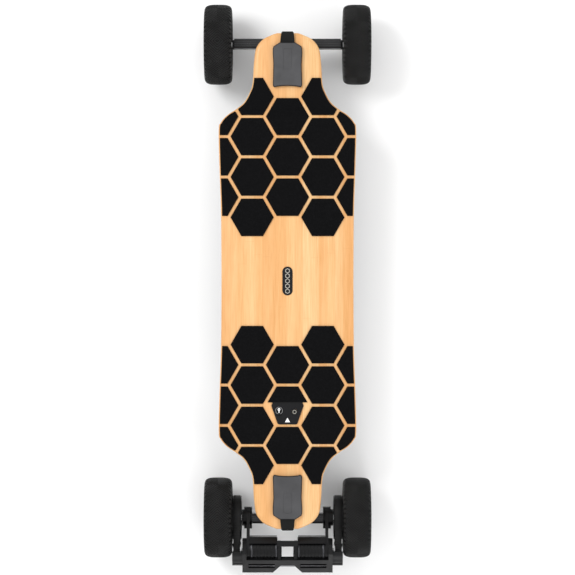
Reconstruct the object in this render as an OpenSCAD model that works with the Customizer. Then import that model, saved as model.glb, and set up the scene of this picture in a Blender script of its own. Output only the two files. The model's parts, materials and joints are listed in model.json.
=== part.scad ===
// Electric all-terrain skateboard: nose towards +Y, wheels on z = 0, lengths in mm.
// "reach" is a distance from the middle of the deck towards the nose or towards the tail.

/* [Deck] */
// Height of the standing surface of the deck, without grip
deck_top = 159; // [155:1:163]
// Thickness of the laminated deck core
deck_thick = 16; // [14:0.5:17]
// How far the nose and tail drop below the standing surface
deck_drop = 10.5; // [8:0.5:12]
// Thickness of the grip tiles
grip_thick = 2.6; // [2:0.1:3]

/* [Enclosure] */
// Half width of the battery tray
tray_half = 83.5; // [80:0.5:86]
// Height of the underside of the tray lid
lid_bottom = 94; // [92:0.5:98]

/* [Trucks] */
// Distance from the middle of the deck to each axle
axle_reach = 489; // [487:0.5:491]

/* [Wheels] */
// Outside diameter of the tyres
tyre_d = 165; // [160:1:165]
// Width of a tyre
tyre_w = 57; // [54:1:57]
// Distance between the middles of left and right wheels
track = 286; // [284:1:290]

/* [Drive] */
// Outside diameter of a motor housing
motor_d = 54; // [50:1:54]

/* [Hidden] */
$fn = 64;

// Fit between pieces that are bolted or pressed together
fit = 0.05;
// Rear guard and front tyres reach equally far from the origin
guard_reach = 598;
mid_y = (guard_reach - axle_reach - tyre_d / 2) / 2;
tyre_r = tyre_d / 2;
axle_z = tyre_r;
wheel_x = track / 2;

// Deck edges: reach and half width of the outline, joined by a smooth curve
deck_edge = [[0, 134.5], [132, 135.4], [230, 138.6], [307, 140.2], [323, 136], [338, 123.4],
             [350, 106], [365, 88.7], [386, 77], [404, 71.4], [445.9, 68.6], [474.8, 64.3],
             [492.5, 51.6], [502, 34], [506.6, 21.6]];
bend_start = 325;
bend_end = 360;
skin_thick = 1.2;
core_bottom = deck_top - deck_thick;
nose_top = deck_top - deck_drop;
skin_bottom = core_bottom - skin_thick;
nose_under = skin_bottom - deck_drop;

// Grip tiles: regular hexagons in columns
tile_pitch = 82.3;
tile_gap = 6;
tile_r = (tile_pitch - tile_gap) / sqrt(3);
tile_column = 72;
tile_first = 129.6;

// Control panel on the tail side
panel_near = 249;
panel_far = 292;
panel_top = deck_top + grip_thick;
button_at = [14.3, 266.6];
button_r = 6.2;
button_low = deck_top - 6;
port_at = [-17.3, 264];
port_r = 5.5;
port_low = deck_top - 11;
cap_thick = 1.4;
cap_r = 6.6;
cap_hinge = 9.6;
light_at = 284;

// Enclosure
flange_low = 133.7;
flange_top = skin_bottom - 1;
tray_low = lid_bottom + 0.6;
lid_thick = 3;
lid_half = [79.2, 324.2];
lid_screws = concat([for (x = [-70, 0, 70], e = [-1, 1]) [x, 313 * e]],
                    [for (x = [-55, 55], r = [248, 292]) [x, -r]]);
flange_screws = [for (x = [-93, 93], r = [-284, -141, 0, 141, 284]) [x, r]];
wall_screws = [for (s = [-1, 1], r = [-281, -141, 0, 141, 281]) [s * tray_half, r]];

// Trucks: the ring of the hanger sits round the kingpin and turns about the pivot line
pin_tilt = 30;
ring_at = [0, axle_reach - 30, axle_z + 6.3];
ring_half = 4.5;
kingpin_r = 5;
bushing_r = 15.5;
seat_back = 18.7;
bar_z = axle_z + 5.5;
bar_half_y = 10.3;
bar_half_z = 13;
axle_r = 5;
axle_half = 165;
cup_near = 47;
cup_far = 52;
cup_r = 12.5;
bolt_spots = [for (x = [-21.5, 21.5], r = [409, 472]) [x, r]];

// Wheels
rim_half = 25.5;
bearing_r = 13;
bearing_w = 8;
hub_in = -25;
hub_out = 12;

// Drive, measured from the deck middle towards the tail
motor_reach = 554;
motor_z = 110;
wheel_pulley_r = 42.6;
motor_pulley_r = 14.2;
pulley_flange = 2.5;
belt_gap = 0.5;
belt_thick = 3;
belt_in = 97.4;
belt_out = 111.2;
mount_in = 78;
mount_out = 84;
guard_out = 92.5;

// Places children written for the nose end at the nose, or at the tail
module at_nose() translate([0, mid_y, 0]) children();
module at_tail() translate([0, mid_y, 0]) mirror([0, 1, 0]) children();
module at_both() {
  at_nose() children();
  at_tail() children();
}
module left_and_right() {
  children();
  mirror([1, 0, 0]) children();
}
// Extrudes a (reach, height) outline across the board
module across(width) rotate([90, 0, 90]) linear_extrude(width, center = true) children();
// A disc or ring on the X axis from x = a to x = b
module along_x(a, b, r) translate([a, 0, 0]) rotate([0, 90, 0]) cylinder(h = b - a, r = r);

// Catmull-Rom curve through a list of points
function curve_at(a, b, c, d, t) = b + 0.5 * t * (c - a)
  + t * t * (a - 2.5 * b + 2 * c - 0.5 * d) + 0.5 * t * t * t * (3 * b - a - 3 * c + d);
function curve(p, n) = concat([for (i = [0:len(p) - 2], k = [0:n - 1])
  curve_at(p[max(i - 1, 0)], p[i], p[i + 1], p[min(i + 2, len(p) - 1)], k / n)], [p[len(p) - 1]]);
function ease(t) = t <= 0 ? 0 : t >= 1 ? 1 : t * t * (3 - 2 * t);
function bend(reach) = deck_drop * ease((reach - bend_start) / (bend_end - bend_start));

deck_half = curve(deck_edge, 4);
bend_steps = concat([for (i = [0:12]) bend_start + (bend_end - bend_start) * i / 12], [520]);

function backwards(p) = [for (i = [len(p) - 1:-1:0]) p[i]];
module deck_outline() {
  right = concat([for (p = backwards(deck_half)) [p[1], -p[0]]], [for (p = deck_half) [p[1], p[0]]]);
  polygon(concat(right, [for (p = backwards(right)) [-p[0], p[1]]]));
}
// Layer that follows the bend of the deck between two heights of its middle part
module deck_layer(low, high) {
  stops = concat([for (s = backwards(bend_steps)) -s], bend_steps);
  across(400) polygon(concat([for (s = stops) [s, high - bend(abs(s))]],
                             [for (s = backwards(stops)) [s, low - bend(abs(s))]]));
}
module deck_shape(low, high, inset) translate([0, mid_y, 0]) intersection() {
  deck_layer(low, high);
  linear_extrude(200) offset(delta = -inset) deck_outline();
}
module rounded(w, l, r) offset(r = r) square([w - 2 * r, l - 2 * r], center = true);
module panel_outline(grow) offset(r = 5 + grow) offset(delta = -5)
  polygon([[-34.75, panel_near], [34.75, panel_near], [19.7, panel_far], [-19.7, panel_far]]);

// Pockets for the button well and the charge port
module panel_wells(grow) at_tail() {
  translate([button_at[0], button_at[1], button_low - 2]) cylinder(h = 30, r = button_r + 2 + grow);
  translate([port_at[0], port_at[1], port_low]) cylinder(h = 30, r = port_r + 2 + grow);
}
module bolt_holes(r) at_both() for (p = bolt_spots)
  translate([p[0], p[1], 90]) cylinder(h = 100, r = r);
module flange_holes(r) translate([0, mid_y, 0]) for (p = flange_screws)
  translate([p[0], p[1], 120]) cylinder(h = 31, r = r);

module deck_core() color("burlywood") difference() {
  deck_shape(core_bottom, deck_top, 0);
  panel_wells(fit);
  bolt_holes(2.5 + fit);
  flange_holes(2 + fit);
}
module deck_skin() color([0.1, 0.1, 0.11]) difference() {
  deck_shape(skin_bottom, core_bottom, 0.6);
  bolt_holes(2.5 + fit);
  flange_holes(2 + fit);
}

module tile_columns() for (c = [-2:2], k = [0:3]) {
  shift = c % 2 == 0 ? tile_pitch / 2 : 0;
  if (c % 2 != 0 || k < 3)
    translate([c * tile_column, tile_first + k * tile_pitch + shift]) circle(r = tile_r, $fn = 6);
}
module tile_area(is_tail) difference() {
  intersection() {
    offset(r = 2, $fn = 24) offset(delta = -2) tile_columns();
    offset(delta = -2.2) deck_outline();
  }
  if (is_tail) translate([-tile_r, panel_near - 1.5]) square([2 * tile_r, 45]);
}
module grip_tiles() color([0.08, 0.08, 0.09]) {
  at_nose() intersection() {
    deck_layer(deck_top, deck_top + grip_thick);
    linear_extrude(200) tile_area(false);
  }
  at_tail() intersection() {
    deck_layer(deck_top, deck_top + grip_thick);
    linear_extrude(200) tile_area(true);
  }
}

module cover_outline() polygon(concat(
  [for (a = [-80:10:80]) [26 * sin(a), 398 - 3.4 * (1 - cos(a))]],
  [[28.6, 396.4], [30, 400], [29.2, 425], [28.8, 442], [30, 462], [30, 474], [28.6, 478.4], [16, 486.4],
   [-16, 486.4], [-28.6, 478.4], [-30, 474], [-30, 462], [-28.8, 442], [-29.2, 425], [-30, 400],
   [-28.6, 396.4]]));
module truck_covers() color([0.35, 0.35, 0.36]) at_both() difference() {
  union() {
    translate([0, 0, nose_top]) linear_extrude(7.6) cover_outline();
    translate([0, 0, nose_top + 7.6]) linear_extrude(1.6) offset(delta = -1.6) cover_outline();
  }
  translate([0, 452.6, nose_top + 8.4]) linear_extrude(3) rounded(17.8, 42.3, 3);
}
module end_bumpers() color([0.07, 0.07, 0.07]) at_both() intersection() {
  across(40) polygon([[486.6, nose_top], [486.6, nose_top + 6], [505, nose_top + 6],
                      [509.6, nose_top + 2], [509.6, nose_top - 9], [506.8, nose_top - 11],
                      [506.8, nose_top]]);
  linear_extrude(200) polygon([[-15, 486], [15, 486], [13.2, 504], [12.4, 507.6], [10.4, 509.6],
                               [-10.4, 509.6], [-12.4, 507.6], [-13.2, 504]]);
}
module deck_badge() color([0.12, 0.12, 0.12]) translate([0, mid_y, deck_top])
  linear_extrude(1.2) rounded(20.8, 58.6, 10.3);

module control_panel() color([0.06, 0.06, 0.07]) difference() {
  union() {
    at_tail() translate([0, 0, deck_top]) linear_extrude(grip_thick) panel_outline(0);
    at_tail() translate([button_at[0], button_at[1], button_low - 2])
      cylinder(h = deck_top - button_low + 2.5, r = button_r + 2);
  }
  at_tail() {
    translate([button_at[0], button_at[1], button_low]) cylinder(h = 30, r = button_r + 0.3);
    translate([port_at[0], port_at[1], deck_top - 1]) cylinder(h = 30, r = port_r + 2 + fit);
    translate([port_at[0], port_at[1], panel_top - cap_thick - 0.4]) {
      cylinder(h = 30, r = cap_r + 0.4);
      translate([-4.6, 0, 0]) cube([9.2, cap_hinge + 1.6, 10]);
    }
    translate([0, 0, panel_top - 1]) linear_extrude(3) light_outline(fit);
  }
}
module light_outline(grow) offset(r = 1 + grow) offset(delta = -1)
  polygon([[-8, light_at - 5.4], [8, light_at - 5.4], [0, light_at + 6.2]]);
module status_light() color([0.95, 0.95, 0.95]) at_tail()
  translate([0, 0, panel_top - 1]) linear_extrude(1.2) light_outline(0);
module charge_port() color([0.2, 0.2, 0.22]) at_tail()
  translate([port_at[0], port_at[1], port_low]) difference() {
    cylinder(h = panel_top - cap_thick - 0.4 - port_low, r = port_r + 2);
    translate([0, 0, 1.5]) cylinder(h = 30, r = port_r);
  }
module charge_port_cap() color([0.85, 0.85, 0.85]) at_tail()
  translate([port_at[0], port_at[1], panel_top - cap_thick]) union() {
    cylinder(h = cap_thick, r = cap_r);
    translate([-2.5, 0, 0]) cube([5, cap_hinge - 0.2, cap_thick]);
    translate([0, cap_hinge, cap_thick / 2]) along_x(-4.2, 4.2, cap_thick / 2);
  }
module power_button() color([0.75, 0.75, 0.78]) at_tail()
  translate([button_at[0], button_at[1], button_low + 2])
    cylinder(h = panel_top + 0.6 - button_low - 2, r = button_r);

module flange_outline() {
  half = 102;
  polygon([[-half, -329], [-68, -345], [68, -345], [half, -329],
           [half, 329], [68, 345], [-68, 345], [-half, 329]]);
}
// Side view and end view of the tray, which meet in its rounded box
module tray_box(shrink) intersection() {
  across(300) polygon([for (e = [[338, flange_low + 3], [336.5, 112], [331.5, 100.5], [325.5, tray_low]])
                         [e[0] - shrink, e[1]],
                       for (e = [[325.5, tray_low], [331.5, 100.5], [336.5, 112], [338, flange_low + 3]])
                         [shrink - e[0], e[1]]]);
  rotate([90, 0, 0]) linear_extrude(800, center = true)
    polygon([for (s = [-1, 1], i = [0:3]) let (k = s < 0 ? i : 3 - i,
      e = [[0, flange_low + 3], [0, 102], [1.6, 97], [5, tray_low]][k]) [s * (tray_half - shrink - e[0]), e[1]]]);
}
module lid_outline(grow) rounded(2 * lid_half[0] + 2 * grow, 2 * lid_half[1] + 2 * grow, 12);
module screw_spots(spots) for (p = spots) translate([p[0], p[1], 0]) children();
module enclosure_tray() color([0.1, 0.1, 0.11]) translate([0, mid_y, 0]) difference() {
  union() {
    translate([0, 0, flange_low]) linear_extrude(flange_top - flange_low) flange_outline();
    tray_box(0);
  }
  translate([0, 0, tray_low - 1]) linear_extrude(lid_bottom + lid_thick - tray_low + 1) lid_outline(0.1);
  translate([-75, -305, 90]) cube([150, 610, 80]);
  translate([-80.5, -327, 100]) cube([161, 654, 60]);
  screw_spots(lid_screws) translate([0, 0, 90]) cylinder(h = 15, r = 1.5 + fit);
  screw_spots(flange_screws) translate([0, 0, 120]) cylinder(h = 40, r = 2 + fit);
  screw_spots(wall_screws) translate([0, 0, 122]) rotate([0, 90, 0])
    cylinder(h = 20, r = 1.5 + fit, center = true);
  deck_layer(skin_bottom, 300);
}
module enclosure_lid() color([0.25, 0.25, 0.26]) translate([0, mid_y, lid_bottom]) difference() {
  linear_extrude(lid_thick) lid_outline(0);
  screw_spots(lid_screws) {
    translate([0, 0, -1]) cylinder(h = 10, r = 1.5 + fit);
    translate([0, 0, -1]) cylinder(h = 2.8, r = 3.3);
  }
}
module enclosure_gasket() color([0.05, 0.05, 0.05]) translate([0, mid_y, flange_top]) difference() {
  linear_extrude(skin_bottom - flange_top) difference() {
    intersection() {
      offset(delta = -2) flange_outline();
      square([300, 2 * bend_start], center = true);
    }
    square([164, 2 * bend_start - 12], center = true);
  }
  translate([0, 0, -1]) screw_spots(flange_screws) cylinder(h = 10, r = 2 + fit);
}
module enclosure_screws() color([0.3, 0.3, 0.32]) translate([0, mid_y, 0]) {
  screw_spots(lid_screws) translate([0, 0, lid_bottom + 0.2]) {
    cylinder(h = 1.6, r = 3);
    translate([0, 0, 1.5]) cylinder(h = 4.2, r = 1.5);
  }
  screw_spots(flange_screws) translate([0, 0, flange_low - 1.8]) {
    cylinder(h = 1.8, r = 3.6);
    translate([0, 0, 1.7]) cylinder(h = 15, r = 2);
  }
  for (p = wall_screws) translate([p[0], p[1], 122]) rotate([0, p[0] > 0 ? 90 : -90, 0]) {
    cylinder(h = 1.4, r = 3);
    translate([0, 0, -3]) cylinder(h = 3.1, r = 1.5);
  }
}
// Cells lie across the tray in two rows on a spacing a little over their diameter
module battery_cells() color("steelblue") translate([0, mid_y, 112]) for (k = [0:23], s = [-1, 1])
  translate([s * 37, 288 - 21.8 * k, 0]) rotate([0, 90, 0]) cylinder(h = 70, r = 10.6, center = true);
module bms_board() color([0.05, 0.35, 0.15]) translate([-60, mid_y + 60, 124.5]) cube([120, 150, 1.6]);
module speed_controller() color([0.3, 0.3, 0.3]) translate([-62, mid_y - 300, lid_bottom + lid_thick]) {
  difference() {
    cube([124, 66, 20]);
    for (i = [0:10]) translate([6 + i * 10.6, 3, 14]) cube([5, 60, 10]);
    for (p = lid_screws) translate([p[0] + 62, p[1] + 300, -1]) cylinder(h = 7, r = 1.5 + fit);
  }
}

module cable_cover() color([0.08, 0.08, 0.08]) at_tail() intersection() {
  across(200) polygon([[347, nose_under + 1.4 - 4.5], [347, nose_under - 6], [360, nose_under - 6],
                       [401, nose_under - 3.4], [401, nose_under], [362, nose_under], [362, nose_under - 2]]);
  linear_extrude(200) polygon([[-51, 346], [51, 346], [39, 402], [-39, 402]]);
}

// Point on the kingpin line and on the pivot line of a truck, nose end
module on_kingpin() translate(ring_at) rotate([180 + pin_tilt, 0, 0]) children();
module on_pivot() translate(ring_at) rotate([pin_tilt - 90, 0, 0]) children();

module baseplate_body(half, inner_end) difference() {
  union() {
    translate([0, 0, nose_under - 4.3]) linear_extrude(4.3) difference() {
      union() {
        translate([0, (inner_end + 482) / 2]) rounded(2 * half, 482 - inner_end, 6);
        translate([-13, 470]) square([26, 38]);
      }
      translate([0, 414.5]) rounded(31.8, 35, 5);
    }
    across(32) polygon([[432, nose_under - 1], [430, 99], [433, 95], [436.1, 95.8], [463, 111.3], [466, 114],
                        [488, 124.6], [490, nose_under - 1]]);
    intersection() {
      on_kingpin() translate([0, 0, -34]) cylinder(h = 34 - seat_back, r = 17);
      translate([-40, 400, 60]) cube([80, 120, nose_under - 61]);
    }
    across(16) polygon([[498.4, nose_under - 1], [497.9, 125.5], [504, 114.9], [507.6, 117],
                        [508, nose_under - 1]]);
    on_pivot() translate([0, 0, cup_far]) cylinder(h = 3.5, r = 10.5);
  }
  on_kingpin() {
    translate([0, 0, -60]) cylinder(h = 60, r = kingpin_r + fit);
    translate([0, 0, -seat_back]) cylinder(h = 60, r = 22);
    translate([0, 0, -60]) cylinder(h = 26, r = 8.6);
  }
  on_pivot() translate([0, 0, 30]) cylinder(h = cup_far - 30, r = cup_r + 0.4);
  for (p = bolt_spots) translate([p[0], p[1], 90]) cylinder(h = 100, r = 2.5 + fit);
}
module front_baseplate() color([0.13, 0.13, 0.14]) at_nose() baseplate_body(31.4, 385);
module rear_baseplate() color([0.13, 0.13, 0.14]) at_tail() {
  baseplate_body(46, 402.5);
  left_and_right() {
    for (r = [419, 428, 459]) translate([20, r - 2, nose_under - 6.8]) cube([13, 3.4, 2.6]);
    for (x = [20, 28]) translate([x, 437, nose_under - 6.8]) cube([4.4, 16, 2.6]);
    translate([40, 404, nose_under - 7.8]) cube([4, 74, 3.6]);
  }
}
module baseplate_bolts() color([0.6, 0.6, 0.62]) at_both() for (p = bolt_spots) {
  translate([p[0], p[1], nose_under - 4.3]) cylinder(h = nose_top - nose_under + 4.2, r = 2.5);
  translate([p[0], p[1], nose_under - 7.4]) cylinder(h = 3.1, r = 4.4, $fn = 6);
}

module kingpin() on_kingpin() {
  translate([0, 0, -34.1]) cylinder(h = 62, r = kingpin_r);
  translate([0, 0, -39.3]) cylinder(h = 5.3, r = 8, $fn = 6);
}
module kingpin_nut() on_kingpin() difference() {
  union() {
    translate([0, 0, 16.6]) cylinder(h = 1.8, r = 14);
    translate([0, 0, 18.4]) cylinder(h = 6, r = 12);
    translate([0, 0, 24.4]) rotate_extrude() intersection() {
      translate([0, -18]) circle(r = 21.6);
      square([12, 5]);
    }
  }
  translate([0, 0, 10]) cylinder(h = 40, r = kingpin_r + fit);
}
module bushings() on_kingpin() {
  for (z = [[-seat_back, -ring_half - 0.05], [ring_half + 0.05, 16.6]]) difference() {
    translate([0, 0, z[0]]) rotate_extrude() difference() {
      square([bushing_r, z[1] - z[0]]);
      translate([bushing_r + 5.2, (z[1] - z[0]) / 2]) circle(r = 6.4);
    }
    translate([0, 0, -60]) cylinder(h = 120, r = kingpin_r + fit);
  }
}
module pivot_cup() on_pivot() difference() {
  translate([0, 0, cup_near]) cylinder(h = cup_far - cup_near, r = cup_r);
  translate([0, 0, cup_near - 1]) cylinder(h = 4.2, r = axle_r + 0.1);
}
module front_kingpin() color([0.6, 0.6, 0.62]) at_nose() kingpin();
module rear_kingpin() color([0.6, 0.6, 0.62]) at_tail() kingpin();
module front_kingpin_nut() color("gold") at_nose() kingpin_nut();
module rear_kingpin_nut() color("gold") at_tail() kingpin_nut();
module front_bushings() color([0.45, 0.12, 0.1]) at_nose() bushings();
module rear_bushings() color([0.45, 0.12, 0.1]) at_tail() bushings();
module front_pivot_cup() color([0.06, 0.06, 0.06]) at_nose() pivot_cup();
module rear_pivot_cup() color([0.06, 0.06, 0.06]) at_tail() pivot_cup();

// Bar, ring round the kingpin and pivot nose; the ends are round where the motor mounts clamp
module hanger_body(bar_half, end_half) difference() {
  union() {
    across(2 * bar_half) polygon([
      [axle_reach + 0.8 - bar_half_y, bar_z - 9], [axle_reach - 5.8, bar_z - bar_half_z],
      [axle_reach + 7, bar_z - bar_half_z], [axle_reach + 0.8 + bar_half_y, bar_z - 9],
      [axle_reach + 0.8 + bar_half_y, bar_z + 9], [axle_reach + 7, bar_z + bar_half_z],
      [axle_reach - 5.8, bar_z + bar_half_z], [axle_reach + 0.8 - bar_half_y, bar_z + 9]]);
    translate([0, axle_reach, axle_z]) along_x(-end_half, end_half, 10);
    on_kingpin() translate([0, 0, -ring_half]) cylinder(h = 2 * ring_half, r = 17.5);
    on_pivot() translate([-14, -ring_half, 8]) cube([28, 2 * ring_half, 20]);
    on_pivot() translate([0, 0, 24]) cylinder(h = 20, r = 7.5);
    on_pivot() translate([0, 0, 24]) cylinder(h = 25.8, r = axle_r);
    on_pivot() translate([0, 0, 44]) cylinder(h = 2.4, r = 10);
    across(24) polygon([[axle_reach - 6, bar_z + 10], [axle_reach + 6, bar_z + 10],
                        [axle_reach + 5, 109.5], [axle_reach - 8, 102]]);
  }
  on_kingpin() {
    translate([0, 0, -ring_half - 5]) cylinder(h = 2 * ring_half + 10, r = 8.2);
    translate([0, 0, ring_half + 0.02]) cylinder(h = 40, r = 19.5);
  }
  translate([0, axle_reach, axle_z]) along_x(-200, 200, axle_r + fit);
}
module front_hanger() color([0.2, 0.2, 0.21]) at_nose() hanger_body(110, 114);
module rear_hanger() color([0.2, 0.2, 0.21]) at_tail() hanger_body(73, 94);

module axle_rod() translate([0, axle_reach, axle_z]) {
  along_x(-axle_half, axle_half, axle_r);
  left_and_right() difference() {
    union() {
      translate([wheel_x + hub_out, 0, 0]) rotate([0, 90, 0]) cylinder(h = 1.4, r = 8.4);
      translate([wheel_x + hub_out + 1.4, 0, 0]) rotate([0, 90, 0]) cylinder(h = 6.6, r = 8, $fn = 6);
    }
    along_x(100, 200, axle_r + fit);
  }
}
module front_axle() color("silver") at_nose() axle_rod();
module rear_axle() color("silver") at_tail() axle_rod();

// Wheel pieces are written for the right-hand side, with outboard along +X, centred on the axle
module wheel_place(side, end) translate([0, mid_y + end * axle_reach, axle_z])
  mirror([side < 0 ? 1 : 0, 0, 0]) translate([wheel_x, 0, 0]) children();
module spun() rotate([0, 90, 0]) rotate_extrude($fn = 128) children();

// Section of a tyre wall: a squared bulge of half width a and half height b on straight beads
bulge_mid = tyre_r - 16.5;
bulge_power = 3.4;
function bulge_at(a, b, k) = [bulge_mid + b * sign(sin(k)) * pow(abs(sin(k)), 2 / bulge_power),
                              a * sign(cos(k)) * pow(abs(cos(k)), 2 / bulge_power)];
function wall_section(a, b, bead_half, inner, shoulder) =
  let (start = asin(pow((bulge_mid - shoulder) / b, bulge_power / 2)), n = 48)
  concat([[inner, -bead_half], [shoulder, -bead_half]],
         [for (i = [0:n]) bulge_at(a, b, 180 + start - i * (180 + 2 * start) / n)],
         [[shoulder, bead_half], [inner, bead_half]]);
module tyre() spun() difference() {
  polygon(wall_section(tyre_w / 2, 16.5, 22.4, 47.6, 59.6));
  polygon(wall_section(tyre_w / 2 - 5.5, 11, 16.9, 46, 58));
}
module rim() difference() {
  union() {
    spun() {
      translate([44.6, -rim_half]) square([2.9, 2 * rim_half]);
      for (s = [-1, 1]) translate([44.6, s * (rim_half - 1.25) - 1.25]) square([14.4, 2.5]);
      translate([axle_r + 3, hub_in]) square([12, hub_out - hub_in]);
    }
    for (k = [0:4]) rotate([38 + 72 * k, 0, 0]) for (s = [-1, 1])
      translate([-2, s * 7.4 - 2.6, 14]) rotate([s * -4, 0, 0]) cube([11, 5.2, 31.6]);
  }
  along_x(hub_in - 1, hub_in + bearing_w, bearing_r + fit);
  along_x(hub_out - bearing_w, hub_out + 1, bearing_r + fit);
}
module bearings() for (x = [hub_in, hub_out - bearing_w]) difference() {
  along_x(x, x + bearing_w, bearing_r);
  along_x(x - 1, x + bearing_w + 1, axle_r + fit);
}
module hub_ring() difference() {
  along_x(hub_out, hub_out + 2.6, bearing_r + 0.2);
  along_x(hub_out - 1, hub_out + 4, 8.8);
}
module tyre_at(side, end) color([0.12, 0.12, 0.12]) wheel_place(side, end) tyre();
module rim_at(side, end) color([0.08, 0.08, 0.08]) wheel_place(side, end) rim();
module bearings_at(side, end) color("silver") wheel_place(side, end) bearings();
module hub_ring_at(side, end) color([0.8, 0.15, 0.2]) wheel_place(side, end) hub_ring();

// Drive pieces are written for the right-hand side of the tail end
module on_motor() translate([0, motor_reach, motor_z]) children();
module on_axle() translate([0, axle_reach, axle_z]) children();
module side_plate(a, b) translate([a, 0, 0]) rotate([90, 0, 90]) linear_extrude(b - a) children();
module mount_side() difference() {
  union() {
    side_plate(mount_in, mount_out) hull() {
      translate([axle_reach, axle_z]) circle(r = 21);
      translate([motor_reach, motor_z]) circle(r = 26);
    }
    on_axle() along_x(mount_in - 4.5, 94, 17);
    for (r = [-22, 12]) translate([mount_in - 4.5, axle_reach + r, axle_z - 8]) cube([16, 10, 16]);
  }
  on_axle() along_x(60, 120, 10 + fit);
  on_motor() along_x(60, 120, 9);
}
module motor_mounts() color([0.1, 0.1, 0.11]) at_tail() left_and_right() mount_side();

// The guard's end plate wraps the motor; its top frame slopes down to the rear corner
guard_shape = [[547, 74.5], [564, 78], [584, 87.6], [592, 87.6], [598, 126.5], [558.8, 146.6], [540, 137],
               [528, 118], [532, 80], [537, 74.5]];
module guard_end() difference() {
  side_plate(mount_out, guard_out) polygon(guard_shape);
  on_motor() along_x(60, 120, 17);
  on_axle() along_x(60, 120, 52);
}
module guard_frame_outline() difference() {
  polygon([[-guard_out, 14], [guard_out, 14], [guard_out, 44], [30, 44], [13.7, 27], [-13.7, 27],
           [-30, 44], [-guard_out, 44]]);
  left_and_right() translate([26, 23]) square([54, 10]);
}
// Slotted plate between the rails, under the motors
module belly_plate() difference() {
  across(2 * mount_out)
    polygon([[541, 74.5], [544, 74.5], [585.6, 87.6], [588, 87.6], [588, 90.6], [541, 76.5]]);
  translate([-12, 550, 60]) cube([24, 20, 40]);
  left_and_right() translate([26, 563, 60]) cube([50, 8, 40]);
}
// Half-round covers behind the motor pulleys, with three ribs along them
module pulley_cover() difference() {
  union() {
    on_motor() along_x(guard_out, 113.4, 29.5);
    for (a = [-24, 0, 24]) on_motor() rotate([a, 0, 0]) translate([guard_out, 0, -1.5]) cube([20.9, 31, 3]);
  }
  on_motor() along_x(80, 120, 26);
  translate([80, motor_reach - 40, motor_z - 40]) cube([40, 40, 80]);
}
module motor_shield() side_plate(22, mount_in)
  polygon([[524.6, 96], [526.6, 96], [526.6, 128], [538, 137.5], [536.8, 139], [524.6, 129]]);
module motor_guard() color([0.09, 0.09, 0.1]) at_tail() {
  left_and_right() guard_end();
  left_and_right() motor_shield();
  left_and_right() pulley_cover();
  belly_plate();
  translate([0, 558.8, 146.6]) rotate([-atan2(20.1, 39.2), 0, 0]) difference() {
    translate([0, 0, -7]) linear_extrude(7) intersection() {
      guard_frame_outline();
      square([2 * mount_out, 200], center = true);
    }
  }
  across(44) polygon([[532, 131], [543, 136], [543, 141], [532, 136]]);
  left_and_right() side_plate(14, 20) difference() {
    polygon([[536, 137], [545, 140], [575, 137], [582, 126], [575, 118], [548, 98], [534, 104]]);
    translate([motor_reach, motor_z]) circle(r = 10);
  }
}
module guard_rails() color([0.7, 0.7, 0.72]) at_tail() {
  translate([-guard_out, 539, 71.1]) cube([2 * guard_out, 5, 3.4]);
  translate([-guard_out, 585.6, 84.2]) cube([2 * guard_out, 5, 3.4]);
}
module motor_housings() color([0.12, 0.12, 0.13]) at_tail() left_and_right() on_motor() difference() {
  union() {
    along_x(20.7, mount_in, motor_d / 2 - 0.8);
    for (x = [20.7, 29, 36, 43, 50, 57, 64, 71.5]) along_x(x, x + 4, motor_d / 2);
  }
  along_x(25, mount_in - 4, 23);
  along_x(60, 100, 6);
}
module motor_stators() color([0.7, 0.4, 0.15]) at_tail() left_and_right() on_motor() difference() {
  along_x(30, 69, 22.9);
  along_x(20, 90, 14.8);
}
module rotor() on_motor() {
  along_x(26, 113.8, 4);
  along_x(32, 67, 14);
  along_x(95.4, 113.4, motor_pulley_r);
  along_x(95.4, 96.8, motor_pulley_r + pulley_flange);
}
module right_rotor() color([0.5, 0.5, 0.52]) at_tail() rotor();
module left_rotor() color([0.5, 0.5, 0.52]) at_tail() mirror([1, 0, 0]) rotor();
module belt_loop(grow) hull() {
  translate([axle_reach, axle_z]) circle(r = wheel_pulley_r + grow, $fn = 96);
  translate([motor_reach, motor_z]) circle(r = motor_pulley_r + grow, $fn = 48);
}
module drive_belts() color([0.05, 0.05, 0.05]) at_tail() left_and_right() side_plate(belt_in, belt_out)
  difference() {
    belt_loop(belt_gap + belt_thick);
    belt_loop(belt_gap);
  }
module wheel_pulley() on_axle() difference() {
  union() {
    along_x(95.2, 113.6, wheel_pulley_r);
    along_x(95.2, 96.8, wheel_pulley_r + pulley_flange);
    along_x(112, 113.6, wheel_pulley_r + pulley_flange);
    along_x(113.6, wheel_x + hub_in, 19.8);
  }
  along_x(90, 140, 8);
  along_x(94, 99, 38);
  for (k = [0:5]) rotate([60 * k, 0, 0]) translate([0, 0, 28]) along_x(90, 120, 6.5);
}
module right_wheel_pulley() color([0.1, 0.1, 0.1]) at_tail() wheel_pulley();
module left_wheel_pulley() color([0.1, 0.1, 0.1]) at_tail() mirror([1, 0, 0]) wheel_pulley();

deck_core();
deck_skin();
grip_tiles();
truck_covers();
end_bumpers();
deck_badge();
control_panel();
status_light();
charge_port();
charge_port_cap();
power_button();
enclosure_tray();
enclosure_lid();
enclosure_gasket();
enclosure_screws();
battery_cells();
bms_board();
speed_controller();
cable_cover();
front_baseplate();
rear_baseplate();
baseplate_bolts();
front_kingpin();
rear_kingpin();
front_kingpin_nut();
rear_kingpin_nut();
front_bushings();
rear_bushings();
front_pivot_cup();
rear_pivot_cup();
front_hanger();
rear_hanger();
front_axle();
rear_axle();
tyre_at(-1, 1);  // front_left_tyre
rim_at(-1, 1);  // front_left_rim
bearings_at(-1, 1);  // front_left_bearings
hub_ring_at(-1, 1);  // front_left_hub_ring
tyre_at(1, 1);  // front_right_tyre
rim_at(1, 1);  // front_right_rim
bearings_at(1, 1);  // front_right_bearings
hub_ring_at(1, 1);  // front_right_hub_ring
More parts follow.
